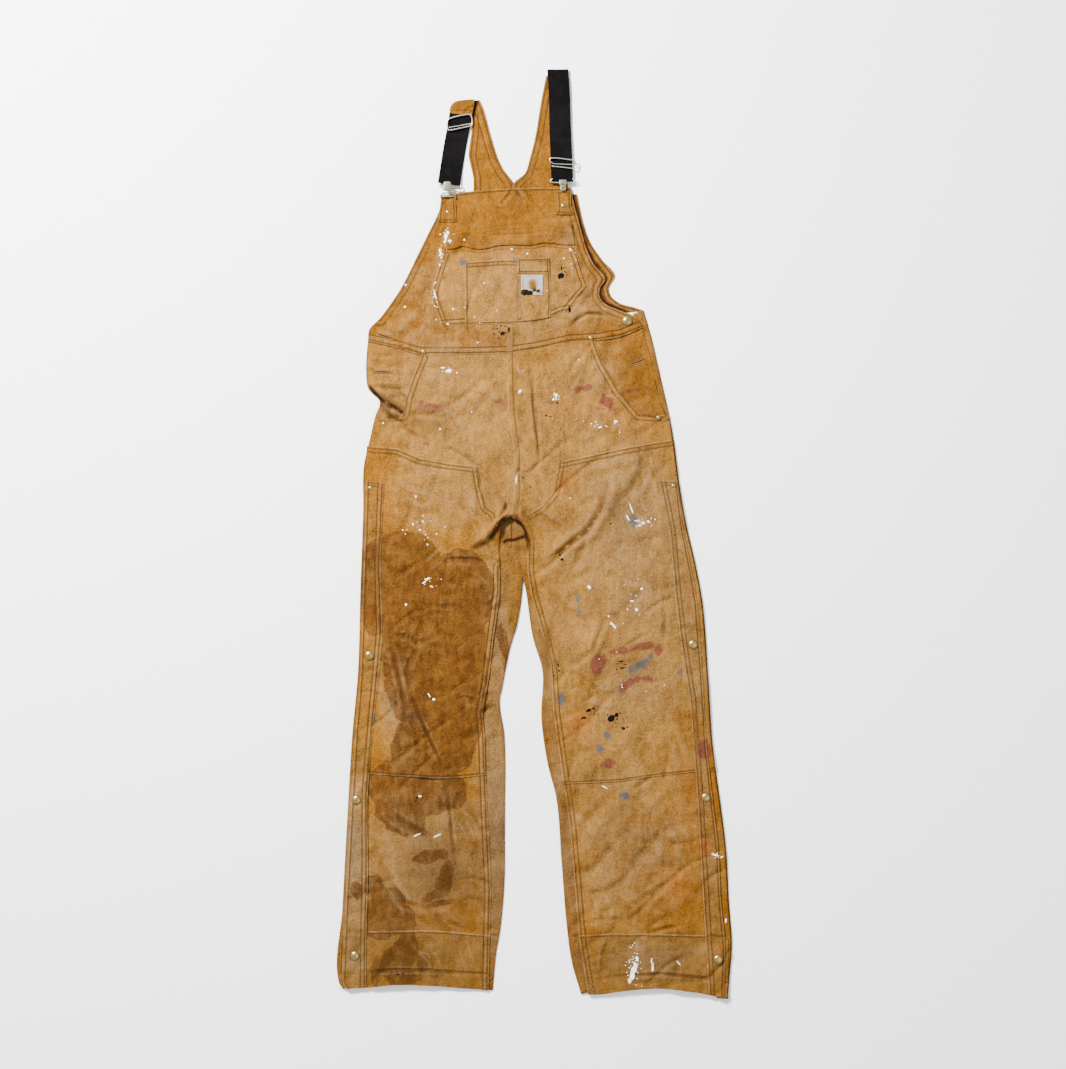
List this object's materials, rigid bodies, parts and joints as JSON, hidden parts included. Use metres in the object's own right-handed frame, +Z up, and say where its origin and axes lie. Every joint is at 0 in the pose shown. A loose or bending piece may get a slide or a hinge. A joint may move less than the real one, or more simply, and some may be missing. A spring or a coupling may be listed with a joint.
{
  "type": "paint spattered bib overalls",
  "caption": "Worn cotton duck bib overalls laid flat, front up, with bib pocket, slant pockets, double knees, side zip flaps, elastic straps and paint stains.",
  "frame": {"origin": "centre of the bounding box on the surface that the garment lies on, near the crotch", "axes": "+Y along the garment from the hems to the straps, +X across it to the picture's right, +Z up out of the front"},
  "size_m": [0.682, 1.6135, 0.017],
  "materials": {
    "duck": "faded tan cotton duck, matte, worn and paint spattered",
    "duck_deep": "orange-brown cotton duck, less faded, matte",
    "duck_back": "brown cotton duck, dusty, matte",
    "duck_grimy": "greyish brown cotton duck with ground-in dirt, matte",
    "label": "plain off-white woven cotton, soft sheen, stained",
    "webbing": "near-black ribbed elastic webbing, faint sheen",
    "brass": "dulled pressed brass, worn bright on the crowns",
    "wire": "nickel-plated wire, satin",
    "clasp": "pale plated clasp, satin, tarnished in the corners"
  },
  "bodies": {
    "root": {"back_leg_left": "duck_back", "back_leg_right": "duck_back", "back_bib": "duck_deep", "back_strap_left": "duck_deep", "back_strap_right": "duck_deep", "front_bib": "duck_deep", "chest_flap": "duck_deep", "bib_tab_left": "duck_deep", "bib_tab_right": "duck_deep", "hip_facing_right": "duck_deep", "front_leg_left": "duck", "front_leg_right": "duck", "hip_facing_left": "duck", "knee_panel_left": "duck", "knee_panel_right": "duck", "chest_pocket": "duck", "pen_pocket": "duck", "pen_flap": "duck", "side_flap_left": "duck_grimy", "side_flap_right": "duck_grimy", "hem_band_left": "duck_grimy", "hem_band_right": "duck_grimy", "label_patch": "label", "zip_top": "label", "webbing_left": "webbing", "webbing_right": "webbing", "snap_left_upper": "brass", "snap_left_middle": "brass", "snap_left_lower": "brass", "snap_right_upper": "brass", "snap_right_middle": "brass", "snap_right_lower": "brass", "side_button": "brass", "rivet_pocket_right_top": "brass", "rivet_pocket_right_end": "brass", "rivet_pocket_left_top": "brass", "rivet_pocket_left_end": "brass", "rivet_flap_left": "brass", "rivet_flap_right": "brass", "rivet_tab_left": "brass", "rivet_tab_right": "brass", "adjuster_left": "wire", "adjuster_right": "wire", "buckle_left": "wire", "buckle_right": "wire", "clasp_left": "clasp", "clasp_right": "clasp", "tab_loop_left": "clasp"}
  },
  "joints": []
}
